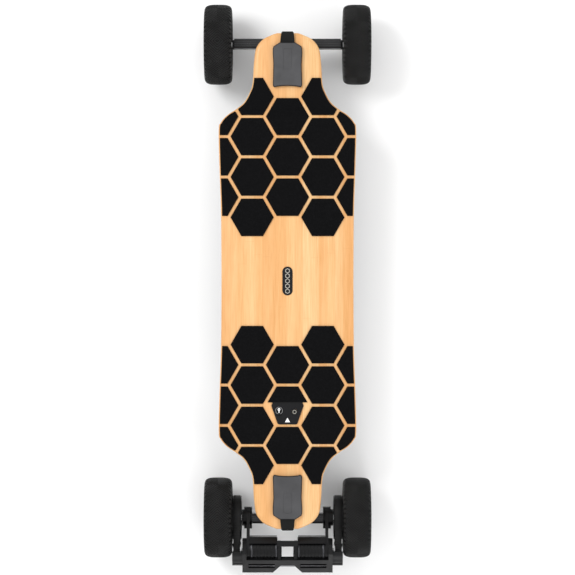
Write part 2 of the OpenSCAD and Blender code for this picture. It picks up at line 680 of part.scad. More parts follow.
tyre_at(-1, -1);  // rear_left_tyre
rim_at(-1, -1);  // rear_left_rim
bearings_at(-1, -1);  // rear_left_bearings
hub_ring_at(-1, -1);  // rear_left_hub_ring
tyre_at(1, -1);  // rear_right_tyre
rim_at(1, -1);  // rear_right_rim
bearings_at(1, -1);  // rear_right_bearings
hub_ring_at(1, -1);  // rear_right_hub_ring
motor_mounts();
motor_guard();
guard_rails();
motor_housings();
motor_stators();
left_rotor();
right_rotor();
drive_belts();
left_wheel_pulley();
right_wheel_pulley();
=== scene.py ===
import json
import math
import bmesh
import bpy
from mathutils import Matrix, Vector

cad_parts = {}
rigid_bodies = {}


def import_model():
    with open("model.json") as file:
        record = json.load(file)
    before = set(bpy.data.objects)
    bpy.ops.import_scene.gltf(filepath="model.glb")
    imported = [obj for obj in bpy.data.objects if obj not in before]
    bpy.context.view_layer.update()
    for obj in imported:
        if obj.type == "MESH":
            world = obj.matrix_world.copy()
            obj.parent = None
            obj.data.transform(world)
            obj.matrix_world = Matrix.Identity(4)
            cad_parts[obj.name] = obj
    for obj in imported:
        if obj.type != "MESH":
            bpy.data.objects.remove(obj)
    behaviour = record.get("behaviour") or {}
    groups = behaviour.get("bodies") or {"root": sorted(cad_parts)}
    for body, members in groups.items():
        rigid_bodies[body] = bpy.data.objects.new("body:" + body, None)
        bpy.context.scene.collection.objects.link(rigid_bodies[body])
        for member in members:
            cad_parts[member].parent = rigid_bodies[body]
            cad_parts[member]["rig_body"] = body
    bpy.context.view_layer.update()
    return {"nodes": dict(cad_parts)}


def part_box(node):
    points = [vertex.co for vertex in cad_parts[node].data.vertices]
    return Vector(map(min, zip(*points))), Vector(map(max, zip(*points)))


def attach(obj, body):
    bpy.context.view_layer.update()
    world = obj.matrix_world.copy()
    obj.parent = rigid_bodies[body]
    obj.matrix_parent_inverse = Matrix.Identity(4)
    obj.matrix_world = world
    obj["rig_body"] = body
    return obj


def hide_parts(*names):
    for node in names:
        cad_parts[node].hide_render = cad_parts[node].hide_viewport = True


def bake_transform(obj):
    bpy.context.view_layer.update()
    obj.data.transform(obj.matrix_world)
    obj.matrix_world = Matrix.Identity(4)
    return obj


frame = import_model()

MM = 0.001

# ---- Places taken from the frame ------------------------------------------------------------
deck_low, deck_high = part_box("deck_core")
MID_Y = (deck_low.y + deck_high.y) / 2
DECK_TOP = deck_high.z
DECK_END = deck_high.y - MID_Y
grip_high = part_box("grip_tiles")[1]
GRIP_TOP = grip_high.z
tyre_low, tyre_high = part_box("front_right_tyre")
TYRE_R = (tyre_high.z - tyre_low.z) / 2
TYRE_HALF = (tyre_high.x - tyre_low.x) / 2
WHEEL_X = (tyre_high.x + tyre_low.x) / 2
AXLE_Z = TYRE_R
AXLE_REACH = (tyre_high.y + tyre_low.y) / 2 - MID_Y

# ---- Deck shape, as the CAD has it ----------------------------------------------------------
DECK_THICK = 16 * MM
DECK_DROP = 10.5 * MM
SKIN_THICK = 1.2 * MM
BEND = (325 * MM, 360 * MM)
DECK_EDGE = [(0, 134.5), (132, 135.4), (230, 138.6), (307, 140.2), (323, 136), (338, 123.4),
             (350, 106), (365, 88.7), (386, 77), (404, 71.4), (445.9, 68.6), (474.8, 64.3),
             (492.5, 51.6), (502, 34), (506.6, 21.6)]
NOSE_TOP = DECK_TOP - DECK_DROP
SKIN_UNDER = DECK_TOP - DECK_THICK - SKIN_THICK


def ease(t):
    t = min(max(t, 0), 1)
    return t * t * (3 - 2 * t)


def drop(reach):
    """How far the deck has bent down at a distance from its middle."""
    return DECK_DROP * ease((abs(reach) - BEND[0]) / (BEND[1] - BEND[0]))


def curve(points, steps):
    """Catmull-Rom curve through (x, y) points."""
    out = []
    last = len(points) - 1
    for i in range(last):
        a, b = points[max(i - 1, 0)], points[i]
        c, d = points[i + 1], points[min(i + 2, last)]
        for k in range(steps):
            t = k / steps
            out.append(tuple(
                b[n] + 0.5 * t * (c[n] - a[n]) + t * t * (a[n] - 2.5 * b[n] + 2 * c[n] - 0.5 * d[n])
                + 0.5 * t ** 3 * (3 * b[n] - a[n] - 3 * c[n] + d[n]) for n in (0, 1)))
    out.append(tuple(points[last]))
    return out


# ---- Mesh helpers ---------------------------------------------------------------------------
def make(name, verts, faces, material, body=None, sharp=35):
    """A mesh object that rides on a body, smooth except across edges sharper than an angle."""
    data = bpy.data.meshes.new(name)
    data.from_pydata([tuple(v) for v in verts], [], faces)
    return dress(name, data, material, body, sharp)


def dress(name, data, material, body, sharp):
    work = bmesh.new()
    work.from_mesh(data)
    bmesh.ops.remove_doubles(work, verts=work.verts, dist=1e-6)
    bmesh.ops.recalc_face_normals(work, faces=work.faces)
    work.to_mesh(data)
    work.free()
    data.set_sharp_from_angle(angle=math.radians(sharp))
    obj = bpy.data.objects.new(name, data)
    bpy.context.scene.collection.objects.link(obj)
    data.materials.append(material)
    for face in data.polygons:
        face.use_smooth = True
    data.set_sharp_from_angle(angle=math.radians(sharp))
    if body:
        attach(obj, body)
    return obj


def bevel(obj, width, segments=2, angle=35):
    mod = obj.modifiers.new("edges", "BEVEL")
    mod.width = width
    mod.segments = segments
    mod.limit_method = "ANGLE"
    mod.angle_limit = math.radians(angle)
    mod.harden_normals = True
    mod.use_clamp_overlap = True
    return obj


def prism(outline, low, high):
    """Vertices and faces of a straight prism over an (x, y) outline."""
    n = len(outline)
    verts = [(x, y, low) for x, y in outline] + [(x, y, high) for x, y in outline]
    faces = [list(range(n))[::-1], list(range(n, 2 * n))]
    faces += [(i, (i + 1) % n, n + (i + 1) % n, n + i) for i in range(n)]
    return verts, faces


def join(parts):
    """Several (verts, faces) lists as one."""
    verts, faces = [], []
    for v, f in parts:
        base = len(verts)
        verts += list(v)
        faces += [[base + i for i in face] for face in f]
    return verts, faces


def spin(profile, steps, closed=True):
    """Turns an (x, radius) profile round the X axis."""
    n = len(profile)
    verts = []
    for s in range(steps):
        a = 2 * math.pi * s / steps
        verts += [(x, -r * math.sin(a), r * math.cos(a)) for x, r in profile]
    faces = []
    for s in range(steps):
        t = (s + 1) % steps
        for i in range(n if closed else n - 1):
            j = (i + 1) % n
            faces.append((s * n + i, s * n + j, t * n + j, t * n + i))
    return verts, faces


def moved(part, offset=(0, 0, 0), flip=(1, 1, 1)):
    verts, faces = part
    flipped = flip[0] * flip[1] * flip[2] < 0
    out = [tuple(v[k] * flip[k] + offset[k] for k in range(3)) for v in verts]
    return out, [list(f)[::-1] for f in faces] if flipped else faces


def turned(part, angle):
    """Turns a part about the X axis."""
    verts, faces = part
    c, s = math.cos(angle), math.sin(angle)
    return [(x, y * c - z * s, y * s + z * c) for x, y, z in verts], faces


def box_part(low, high):
    (a, b, c), (d, e, f) = low, high
    return prism([(a, b), (d, b), (d, e), (a, e)], c, f)


def soften(node, width, material, name=None, sharp=35, segments=2):
    """Stands for a CAD node with the same solids, their edges rounded off."""
    source = frame["nodes"][node]
    data = source.data.copy()
    data.materials.clear()
    work = bmesh.new()
    work.from_mesh(data)
    bmesh.ops.remove_doubles(work, verts=work.verts, dist=2e-6)
    bmesh.ops.dissolve_limit(work, angle_limit=math.radians(1.0), verts=work.verts, edges=work.edges)
    work.to_mesh(data)
    work.free()
    obj = dress(name or node + "_piece", data, material, source["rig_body"], sharp)
    bevel(obj, width, segments, sharp)
    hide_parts(node)
    return obj


# ---- Materials ------------------------------------------------------------------------------
class Finish:
    """A Principled material whose colour, roughness and relief come from procedural textures."""

    def __init__(self, name, rough=0.5, metal=0.0, coat=0.0, specular=0.5):
        self.material = bpy.data.materials.new(name)
        self.material.use_nodes = True
        self.tree = self.material.node_tree
        self.bsdf = self.tree.nodes["Principled BSDF"]
        self.bsdf.inputs["Roughness"].default_value = rough
        self.bsdf.inputs["Metallic"].default_value = metal
        self.bsdf.inputs["Coat Weight"].default_value = coat
        self.bsdf.inputs["Coat Roughness"].default_value = 0.12
        self.bsdf.inputs["Specular IOR Level"].default_value = specular
        self.place = self.add("ShaderNodeTexCoord").outputs["Object"]

    def add(self, kind, **values):
        node = self.tree.nodes.new(kind)
        for key, value in values.items():
            setattr(node, key, value)
        return node

    def link(self, a, b):
        self.tree.links.new(a, b)

    def stretched(self, scale):
        node = self.add("ShaderNodeMapping")
        node.inputs["Scale"].default_value = scale
        self.link(self.place, node.inputs["Vector"])
        return node.outputs["Vector"]

    def noise(self, scale, detail=4, stretch=(1, 1, 1), rough=0.55):
        node = self.add("ShaderNodeTexNoise")
        node.inputs["Scale"].default_value = scale
        node.inputs["Detail"].default_value = detail
        node.inputs["Roughness"].default_value = rough
        self.link(self.stretched(stretch), node.inputs["Vector"])
        return node.outputs["Fac"]

    def cells(self, scale, stretch=(1, 1, 1), feature="F1"):
        node = self.add("ShaderNodeTexVoronoi", feature=feature)
        node.inputs["Scale"].default_value = scale
        self.link(self.stretched(stretch), node.inputs["Vector"])
        return node.outputs["Distance"]

    def ramp(self, value, stops):
        node = self.add("ShaderNodeValToRGB")
        ramp = node.color_ramp
        while len(ramp.elements) < len(stops):
            ramp.elements.new(0.5)
        for element, (at, colour) in zip(ramp.elements, stops):
            element.position = at
            element.color = (*colour, 1) if len(colour) == 3 else colour
        self.link(value, node.inputs["Fac"])
        return node.outputs["Color"]

    def math(self, operation, a, b=None, c=None):
        node = self.add("ShaderNodeMath", operation=operation)
        for slot, value in enumerate((a, b, c)):
            if value is None:
                continue
            if isinstance(value, (int, float)):
                node.inputs[slot].default_value = value
            else:
                self.link(value, node.inputs[slot])
        return node.outputs[0]

    def mix(self, share, a, b, blend="MIX"):
        node = self.add("ShaderNodeMix", data_type="RGBA", blend_type=blend)
        for key, value in ((0, share), (6, a), (7, b)):
            if isinstance(value, (int, float)):
                node.inputs[key].default_value = value
            elif isinstance(value, tuple):
                node.inputs[key].default_value = (*value, 1)
            else:
                self.link(value, node.inputs[key])
        return node.outputs[2]

    def axes(self):
        node = self.add("ShaderNodeSeparateXYZ")
        self.link(self.place, node.inputs[0])
        return node.outputs

    def colour(self, value):
        self.link(value, self.bsdf.inputs["Base Color"])
        return self

    def roughness(self, value, low, high):
        node = self.add("ShaderNodeMapRange")
        node.inputs["To Min"].default_value = low
        node.inputs["To Max"].default_value = high
        self.link(value, node.inputs["Value"])
        self.link(node.outputs["Result"], self.bsdf.inputs["Roughness"])
        return self

    def relief(self, height, depth, strength=1.0):
        node = self.add("ShaderNodeBump")
        node.inputs["Distance"].default_value = depth
        node.inputs["Strength"].default_value = strength
        self.link(height, node.inputs["Height"])
        self.link(node.outputs["Normal"], self.bsdf.inputs["Normal"])
        return self


def shades(colour, spread):
    """Darker and lighter versions of a colour, for a ramp."""
    dark = tuple(c * (1 - spread) for c in colour)
    light = tuple(min(1, c * (1 + spread)) for c in colour)
    return [dark, colour, light]


def moulded(name, colour, rough=0.45, spread=0.2, grain=1400, depth=0.00006, coat=0.0, specular=0.3):
    """Moulded plastic or powder coat: fine orange-peel relief and cloudy, faintly worn colour."""
    f = Finish(name, rough, coat=coat, specular=specular)
    dark, mid, light = shades(colour, spread)
    cloud = f.noise(26, 5)
    f.colour(f.ramp(cloud, [(0.3, dark), (0.5, mid), (0.75, light)]))
    f.roughness(f.noise(60, 6), rough - 0.1, rough + 0.12)
    f.relief(f.noise(grain, 2), depth)
    return f.material


def metal(name, colour, rough=0.3, brush=(1, 60, 60), scale=90, spread=0.15, depth=0.00003):
    """Machined or anodised metal: fine lines along one direction and smudged gloss."""
    f = Finish(name, rough, 1.0)
    dark, mid, light = shades(colour, spread)
    lines = f.noise(scale, 3, brush)
    f.colour(f.ramp(lines, [(0.3, dark), (0.5, mid), (0.7, light)]))
    f.roughness(f.noise(45, 5), max(rough - 0.1, 0.08), rough + 0.14)
    f.relief(lines, depth)
    return f.material


def rubber(name, colour, rough=0.75, dust=0.35):
    """Rubber with dust in its pores and slightly polished high spots."""
    f = Finish(name, rough, specular=0.14)
    dark, mid, light = shades(colour, dust)
    f.colour(f.ramp(f.noise(38, 7), [(0.3, dark), (0.52, mid), (0.8, light)]))
    f.roughness(f.noise(80, 4), rough - 0.14, rough + 0.1)
    f.relief(f.noise(1500, 3), 0.00012)
    return f.material


def bamboo_top():
    """Long bamboo strips of uneven tone with fine streaks along them and faint growth rings."""
    f = Finish("bamboo_top", 0.4, coat=0.08, specular=0.3)
    x, y = f.axes()[:2]
    wander = f.math("MULTIPLY", f.noise(3, 2, (1, 0.3, 1)), 0.004)
    slat = f.math("DIVIDE", f.math("ADD", x, wander), 0.0165)
    index = f.math("FLOOR", slat)
    tone = f.add("ShaderNodeTexWhiteNoise", noise_dimensions="1D")
    f.link(index, tone.inputs["W"])
    base = f.ramp(tone.outputs["Value"], [(0.0, (0.69, 0.365, 0.145)), (0.35, (0.72, 0.405, 0.17)),
                                          (0.7, (0.74, 0.45, 0.205)), (1.0, (0.77, 0.50, 0.25))])
    edge = f.math("SMOOTH_MIN", f.math("ABSOLUTE", x), 0.16, 0.02)
    rim = f.ramp(f.math("DIVIDE", edge, 0.145), [(0.58, (0, 0, 0)), (0.9, (1, 1, 1))])
    base = f.mix(f.math("MULTIPLY", rim, 0.62), base, (0.62, 0.27, 0.08))
    fibres = f.noise(60, 6, (14, 0.35, 14))
    base = f.mix(f.math("MULTIPLY", f.math("SUBTRACT", 0.64, fibres), 1.5), base, (0.50, 0.22, 0.055))
    broad = f.noise(16, 4, (3, 0.22, 1))
    base = f.mix(f.math("MULTIPLY", f.math("SUBTRACT", broad, 0.45), 1.2), base, (0.84, 0.55, 0.29))
    joint = f.math("ABSOLUTE", f.math("SUBTRACT", f.math("FRACT", slat), 0.5))
    seam = f.math("GREATER_THAN", joint, 0.488)
    base = f.mix(f.math("MULTIPLY", seam, 0.22), base, (0.55, 0.27, 0.09))
    shift = f.add("ShaderNodeTexWhiteNoise", noise_dimensions="1D")
    f.link(f.math("ADD", index, 40.5), shift.inputs["W"])
    along = f.math("ADD", f.math("DIVIDE", y, 0.31), shift.outputs["Value"])
    knot = f.math("ABSOLUTE", f.math("SUBTRACT", f.math("FRACT", along), 0.5))
    ring = f.math("LESS_THAN", f.math("ADD", knot, f.math("MULTIPLY", f.noise(300, 2), 0.002)), 0.003)
    base = f.mix(f.math("MULTIPLY", ring, 0.16), base, (0.45, 0.22, 0.07))
    f.colour(base)
    f.roughness(f.noise(24, 5), 0.32, 0.5)
    f.relief(fibres, 0.00006)
    return f.material


def bamboo_edge():
    """Cut edge of the laminate: thin plies of bamboo and maple."""
    f = Finish("bamboo_edge", 0.5, coat=0.1)
    z = f.axes()[2]
    bend = f.noise(6, 2, (1, 0.4, 0.2))
    ply = f.math("DIVIDE", f.math("ADD", z, f.math("MULTIPLY", bend, 0.0006)), 0.0027)
    index = f.add("ShaderNodeTexWhiteNoise", noise_dimensions="1D")
    f.link(f.math("FLOOR", ply), index.inputs["W"])
    tone = f.ramp(index.outputs["Value"], [(0, (0.56, 0.33, 0.14)), (0.5, (0.68, 0.43, 0.20)),
                                           (1, (0.80, 0.55, 0.29))])
    streak = f.noise(90, 5, (0.5, 0.5, 9))
    f.colour(f.mix(f.math("MULTIPLY", streak, 0.5), tone, (0.50, 0.28, 0.11)))
    f.roughness(streak, 0.42, 0.6)
    f.relief(streak, 0.00008)
    return f.material


def grip_finish():
    """Coarse mineral grip: dark grains that catch the light here and there."""
    f = Finish("grip_sheet", 0.85, specular=0.07)
    grains = f.cells(1100)
    f.colour(f.ramp(f.noise(900, 3), [(0.35, (0.001, 0.001, 0.0012)), (0.55, (0.0025, 0.0025, 0.003)),
                                     (0.72, (0.009, 0.009, 0.010))]))
    f.roughness(f.noise(700, 2), 0.62, 0.95)
    f.relief(grains, 0.0006, 0.9)
    return f.material


def skin_finish():
    """Black composite skin under the deck, satin, with a faint woven relief."""
    f = Finish("under_skin", 0.38, coat=0.06, specular=0.25)
    f.colour(f.ramp(f.noise(14, 6), [(0.3, (0.005, 0.005, 0.0055)), (0.7, (0.010, 0.010, 0.011))]))
    f.roughness(f.noise(30, 6), 0.3, 0.5)
    weave = f.add("ShaderNodeTexWave", wave_type="BANDS", bands_direction="DIAGONAL")
    weave.inputs["Scale"].default_value = 420
    f.link(f.place, weave.inputs["Vector"])
    f.relief(weave.outputs["Fac"], 0.00002)
    return f.material


BAMBOO = bamboo_top()
PLIES = bamboo_edge()
GRIP = grip_finish()
SKIN = skin_finish()
COVER = moulded("cover_grey", (0.052, 0.052, 0.055), 0.5)
BLACK = moulded("black_plastic", (0.007, 0.007, 0.008), 0.42)
TRAY = moulded("tray_black", (0.003, 0.003, 0.0034), 0.46, grain=900, depth=0.0001, specular=0.12)
LIDCOAT = moulded("lid_coat", (0.019, 0.019, 0.0195), 0.46, 0.06, 1000, 0.00005, specular=0.25)
PANEL = moulded("panel_gloss", (0.003, 0.003, 0.004), 0.34, coat=0.06, specular=0.2)
TRIM = rubber("trim_rubber", (0.006, 0.006, 0.006), 0.7)
TYRE = rubber("tyre_rubber", (0.013, 0.013, 0.013), 0.56, 0.45)
# Darker rubber for the bottoms of the tread grooves: painted shade between the ridges.
GROOVE_SHADE = rubber("tyre_groove_painted_shade", (0.0015, 0.0015, 0.0015), 0.9, 0.3)
BELT = rubber("belt_rubber", (0.009, 0.009, 0.009), 0.6)
RIM = moulded("rim_black", (0.005, 0.005, 0.006), 0.3, coat=0.2)
CAST = moulded("cast_black", (0.016, 0.016, 0.018), 0.4, 0.25, 700, 0.0001)
DARKCAST = moulded("dark_casting", (0.004, 0.004, 0.0045), 0.42, 0.25, 700, 0.0001, specular=0.15)
# Lighter grey; on the hanger ledge and the rear baseplate's ribs it is painted highlight.
RIB = moulded("rib_grey", (0.16, 0.16, 0.165), 0.38, 0.2)
HANGER = moulded("hanger_black", (0.012, 0.012, 0.013), 0.34, 0.25, 900, 0.00006)
# Lighter copy of the hanger's black, for its raised ribs: painted highlight along them.
RIDGE_HIGHLIGHT = moulded("hanger_ridge_highlight", (0.034, 0.034, 0.036), 0.32, 0.25, 900, 0.00006)
DRIVE = moulded("drive_black", (0.0035, 0.0035, 0.004), 0.34, specular=0.22)
BAND = metal("motor_band", (0.06, 0.06, 0.065), 0.34)
STEEL = metal("zinc_steel", (0.62, 0.62, 0.63), 0.28)
DARKSTEEL = metal("black_steel", (0.04, 0.04, 0.042), 0.4)
OXIDE = metal("black_oxide", (0.014, 0.014, 0.015), 0.45)
GOLD = metal("gold_anodised", (0.93, 0.80, 0.53), 0.24, (1, 1, 60), 70)
RIMGOLD = metal("opening_rim", (0.85, 0.76, 0.55), 0.35)
RED = metal("red_anodised", (0.80, 0.13, 0.17), 0.3)
DEEPRED = moulded("deep_red", (0.075, 0.003, 0.005), 0.4)
SILVER = metal("rail_aluminium", (0.42, 0.42, 0.44), 0.36)
GUIDE = metal("guide_metal", (0.34, 0.31, 0.25), 0.4)
# Near-black copy of the bushing urethane, for the upper bushing in the opening: painted shade.
BUSH_SHADE = rubber("bushing_painted_shade", (0.010, 0.006, 0.006), 0.45, 0.2)
URETHANE = rubber("bushing_urethane", (0.085, 0.012, 0.009), 0.4, 0.2)
WHITE = moulded("printed_white", (0.86, 0.86, 0.86), 0.4, 0.04)
COPPER = metal("winding_copper", (0.72, 0.34, 0.14), 0.3)
CELL = moulded("cell_wrap", (0.05, 0.22, 0.5), 0.3)
BOARD = moulded("circuit_board", (0.02, 0.16, 0.07), 0.35)
BADGE = moulded("badge_black", (0.006, 0.006, 0.007), 0.34, coat=0.05, specular=0.2)
ETCH = metal("badge_etch", (0.5, 0.48, 0.42), 0.4)


# ---- Deck -----------------------------------------------------------------------------------
def deck_ring(inset, steps=8):
    """Right-hand half of the deck outline, tail to nose, moved inwards by an inset."""
    half = [(w * MM, s * MM) for s, w in curve(DECK_EDGE, steps)]
    right = [(x, -s) for x, s in half[::-1]] + half[1:]
    out = []
    last = len(right) - 1
    for i, (x, s) in enumerate(right):
        a, b = right[max(i - 1, 0)], right[min(i + 1, last)]
        t = Vector((b[0] - a[0], b[1] - a[1])).normalized()
        normal = (t[1], -t[0])
        if i in (0, last):
            normal = (0.55, -0.9 if i == 0 else 0.9)
        amount = inset(s) if callable(inset) else inset
        out.append((x - normal[0] * amount, s - normal[1] * amount))
    return out


def deck_body(rings):
    """Closed deck solid from rings of (inset, height); both ends of the list close across."""
    outlines = []
    for inset, height in rings:
        right = deck_ring(inset)
        loop = right + [(-x, s) for x, s in right[::-1]]
        outlines.append([(x, MID_Y + s, height(s) - drop(s)) for x, s in loop])
    n = len(outlines[0])
    verts = [v for ring in outlines for v in ring]
    faces = []
    for k in range(len(outlines) - 1):
        for i in range(n):
            j = (i + 1) % n
            faces.append((k * n + i, k * n + j, (k + 1) * n + j, (k + 1) * n + i))
    half = n // 2
    for base, up in ((0, False), ((len(outlines) - 1) * n, True)):
        for i in range(half - 1):
            quad = (base + i, base + i + 1, base + n - 2 - i, base + n - 1 - i)
            faces.append(quad if up else quad[::-1])
    return verts, faces


def crown(reach):
    """Width of the eased top edge: narrow beside the feet, wide round nose and tail."""
    return (2.6 + 6.4 * ease((abs(reach) - 0.335) / 0.05)) * MM


def build_deck():
    under = DECK_TOP - DECK_THICK

    def at(height):
        return lambda s: height

    rings = [(2.2 * MM, at(under)), (0.7 * MM, at(under + 0.5 * MM)), (0.1 * MM, at(under + 1.8 * MM)),
             (0, at(under + 4 * MM)),
             (0, lambda s: DECK_TOP - 1.6 * MM - crown(s) * 0.34),
             (0.25 * MM, lambda s: DECK_TOP - 0.9 * MM - crown(s) * 0.28),
             (lambda s: crown(s) * 0.32, lambda s: DECK_TOP - crown(s) * 0.17 - 0.3 * MM),
             (lambda s: crown(s) * 0.66, lambda s: DECK_TOP - crown(s) * 0.07),
             (crown, at(DECK_TOP))]
    deck = make("deck_body", *deck_body(rings), BAMBOO, "deck", 50)
    deck.data.materials.append(PLIES)
    for face in deck.data.polygons:
        if abs(face.normal.z) < 0.45:
            face.material_index = 1
    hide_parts("deck_core")
    skin_rings = [(4.5 * MM, at(under - SKIN_THICK)), (1.6 * MM, at(under - SKIN_THICK + 0.15 * MM)),
                  (0.8 * MM, at(under - SKIN_THICK * 0.5)), (0.7 * MM, at(under - 0.02 * MM)),
                  (3 * MM, at(under))]
    skin = make("deck_underskin", *deck_body(skin_rings), SKIN, "deck", 50)
    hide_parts("deck_skin")


def half_width(reach):
    """Half width of the deck at a distance from its middle."""
    for (s0, w0), (s1, w1) in zip(DECK_HALF, DECK_HALF[1:]):
        if s0 <= abs(reach) <= s1:
            return w0 + (w1 - w0) * (abs(reach) - s0) / (s1 - s0)
    return 0


DECK_HALF = [(s * MM, w * MM) for s, w in curve(DECK_EDGE, 8)]
TILE_PITCH = 82.3 * MM
TILE_GAP = 6 * MM
TILE_COLUMN = 72 * MM
TILE_FIRST = 129.6 * MM
TILE_MARGIN = 2.2 * MM
TILE_EASE = 0.5 * MM
PANEL_NEAR = 249 * MM


def tile_rows(column, middle, last):
    """Rows (reach, left, right) of one hexagonal tile, cut back from the edge of the deck."""
    radius = (TILE_PITCH - TILE_GAP) / math.sqrt(3)
    half = (TILE_PITCH - TILE_GAP) / 2
    rows = []
    for k in range(53):
        s = middle + half * (k - 26) / 26
        if s > last:
            break
        reach = radius - abs(s - middle) / math.sqrt(3)
        slope = (half_width(s + 2 * MM) - half_width(s - 2 * MM)) / (4 * MM)
        edge = half_width(s) - TILE_MARGIN * math.hypot(1, slope)
        left = max(column * TILE_COLUMN - reach, -edge)
        right = min(column * TILE_COLUMN + reach, edge)
        if right - left > 2.4 * MM:
            rows.append((s, left, right))
    return rows


def tile_part(rows, end):
    """A tile that follows the bend of the deck, with a small eased edge."""
    verts, faces = [], []
    last = len(rows) - 1
    rise = GRIP_TOP - DECK_TOP
    for i, (s, left, right) in enumerate(rows):
        tuck = TILE_EASE if i == 0 else -TILE_EASE if i == last else 0
        for inset, height in ((0, 0), (0, rise - TILE_EASE), (TILE_EASE, rise)):
            at = s + (tuck if inset else 0)
            y, z = MID_Y + end * at, DECK_TOP - drop(at) + height
            verts += [(left + inset, y, z), (right - inset, y, z)]
    for i in range(last):
        a, b = 6 * i, 6 * i + 6
        for p, q in ((0, 2), (2, 4), (4, 5), (5, 3), (3, 1), (1, 0)):
            faces.append((a + p, a + q, b + q, b + p))
    for a in (0, 6 * last):
        faces += [(a, a + 1, a + 3, a + 2), (a + 2, a + 3, a + 5, a + 4)]
    return verts, faces


def build_grip():
    parts = []
    for end in (1, -1):
        for column in range(-2, 3):
            for row in range(4 - (column % 2 == 0)):
                middle = TILE_FIRST + row * TILE_PITCH + (TILE_PITCH / 2 if column % 2 == 0 else 0)
                cut = end < 0 and column == 0 and row == 1
                rows = tile_rows(column, middle, PANEL_NEAR - 1.5 * MM if cut else DECK_END)
                if len(rows) > 2:
                    parts.append(tile_part(rows, end))
    grip = make("grip_sheet_tiles", *join(parts), GRIP, "deck", 40)
    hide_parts("grip_tiles")


# ---- Wheels ---------------------------------------------------------------------------------
BULGE_MID = TYRE_R - 16.5 * MM
BULGE_POWER = 3.4
TREAD_PERIODS = 6
RIDGES = 8
LUGS = 48


def bulge(a, b, k):
    c, s = math.cos(k), math.sin(k)
    return (a * math.copysign(abs(c) ** (2 / BULGE_POWER), c),
            BULGE_MID + b * math.copysign(abs(s) ** (2 / BULGE_POWER), s))


def pulse(value, share, soft):
    """1 on a ridge and 0 in a groove, with soft flanks; value counts periods."""
    d = abs(value - round(value)) * 2
    return 1 - ease((d - share) / soft)


def tread_depth(angle, x, r):
    """Depth of the tread grooves at an angle round the tyre and a place on its section."""
    turn = angle / (2 * math.pi) * TREAD_PERIODS
    along = abs(turn - round(turn)) * 2
    across = abs(x) / TYRE_HALF
    if across < 0.84:
        return 1.7 * MM * (1 - pulse((along + across * 0.62) * RIDGES, 0.48, 0.3))
    lug = pulse(angle / (2 * math.pi) * LUGS + (0.5 if x > 0 else 0), 0.5, 0.25)
    return 1.9 * MM * (1 - lug) * ease((r - TYRE_R + 13 * MM) / (3 * MM))


def in_groove(c, at, sign_x):
    """Whether a place on a tyre lies down between the tread ridges, where the rubber is painted darker as
    shade.
    """
    y, z = c.y - at[1], c.z - at[2]
    r = math.hypot(y, z)
    return r > TYRE_R - 12 * MM and tread_depth(math.atan2(-y, z), (c.x - at[0]) * sign_x, r) > 1.0 * MM


def tyre_part():
    """One tyre about the X axis, with nested diamond ridges, shoulder lugs and a moulded sidewall."""
    start = math.asin(((BULGE_MID - 59.6 * MM) / (16.5 * MM)) ** (BULGE_POWER / 2))
    n = 92
    profile = []
    for i in range(n + 1):
        k = math.pi + start - i * (math.pi + 2 * start) / n
        profile.append(bulge(TYRE_HALF, 16.5 * MM, k))
    spaced = []
    total = [0]
    for p, q in zip(profile, profile[1:]):
        total.append(total[-1] + math.hypot(q[0] - p[0], q[1] - p[1]))
    count = 70
    j = 0
    for i in range(count + 1):
        want = total[-1] * i / count
        while j < n - 1 and total[j + 1] < want:
            j += 1
        t = (want - total[j]) / (total[j + 1] - total[j])
        p, q = profile[j], profile[j + 1]
        spaced.append((p[0] + t * (q[0] - p[0]), p[1] + t * (q[1] - p[1])))
    normals = []
    for i in range(count + 1):
        p, q = spaced[max(i - 1, 0)], spaced[min(i + 1, count)]
        d = math.hypot(q[0] - p[0], q[1] - p[1])
        normals.append((-(q[1] - p[1]) / d, (q[0] - p[0]) / d))
    if normals[count // 2][1] < 0:
        normals = [(-a, -b) for a, b in normals]
    bead = 22.4 * MM
    inner = [(bead, 59.2 * MM), (bead, 47.7 * MM), (16.9 * MM, 47.7 * MM), (-16.9 * MM, 47.7 * MM),
             (-bead, 47.7 * MM), (-bead, 59.2 * MM)]
    steps = 540
    verts, faces = [], []
    m = len(spaced) + len(inner)
    for s in range(steps):
        a = 2 * math.pi * s / steps
        for (x, r), (nx, nr) in zip(spaced, normals):
            if r > TYRE_R - 13 * MM:
                sunk = tread_depth(a, x, r)
            else:
                sunk = 0.4 * MM * (1 - pulse((r - 60 * MM) / (3.4 * MM), 0.25, 0.3)) if r < 68 * MM else 0
            x2, r2 = x - nx * sunk, r - nr * sunk
            verts.append((x2, -r2 * math.sin(a), r2 * math.cos(a)))
        for x, r in inner:
            verts.append((x, -r * math.sin(a), r * math.cos(a)))
    for s in range(steps):
        t = (s + 1) % steps
        for i in range(m):
            j = (i + 1) % m
            faces.append((s * m + i, s * m + j, t * m + j, t * m + i))
    return verts, faces


def spoke_part():
    """Ten tapered blades in five pairs, dished towards the hub."""
    parts = []
    for k in range(5):
        for side in (-1, 1):
            blade = []
            for r, half, front, back in ((15, 2.9, 13.5, 1), (20, 2.6, 12.6, 1.5), (30, 2.4, 11.6, 2.5),
                                         (40, 2.7, 11.2, 2.5), (46, 3.6, 12.5, 1.5)):
                middle = side * (6.2 + 0.055 * r)
                corners = ((front, -half), (front, half), (back, half), (back, -half))
                blade.append([(x * MM, (middle + across) * MM, r * MM) for x, across in corners])
            verts = [v for ring in blade for v in ring]
            faces = [(0, 1, 2, 3), tuple(range(len(verts) - 4, len(verts)))[::-1]]
            for i in range(len(blade) - 1):
                for j in range(4):
                    faces.append((4 * i + j, 4 * i + (j + 1) % 4, 4 * i + 4 + (j + 1) % 4, 4 * i + 4 + j))
            parts.append(turned((verts, faces), math.radians(38 + 72 * k)))
        web = box_part((1.5 * MM, -7 * MM, 41 * MM), (6 * MM, 7 * MM, 46 * MM))
        parts.append(turned(web, math.radians(38 + 72 * k)))
    return join(parts)


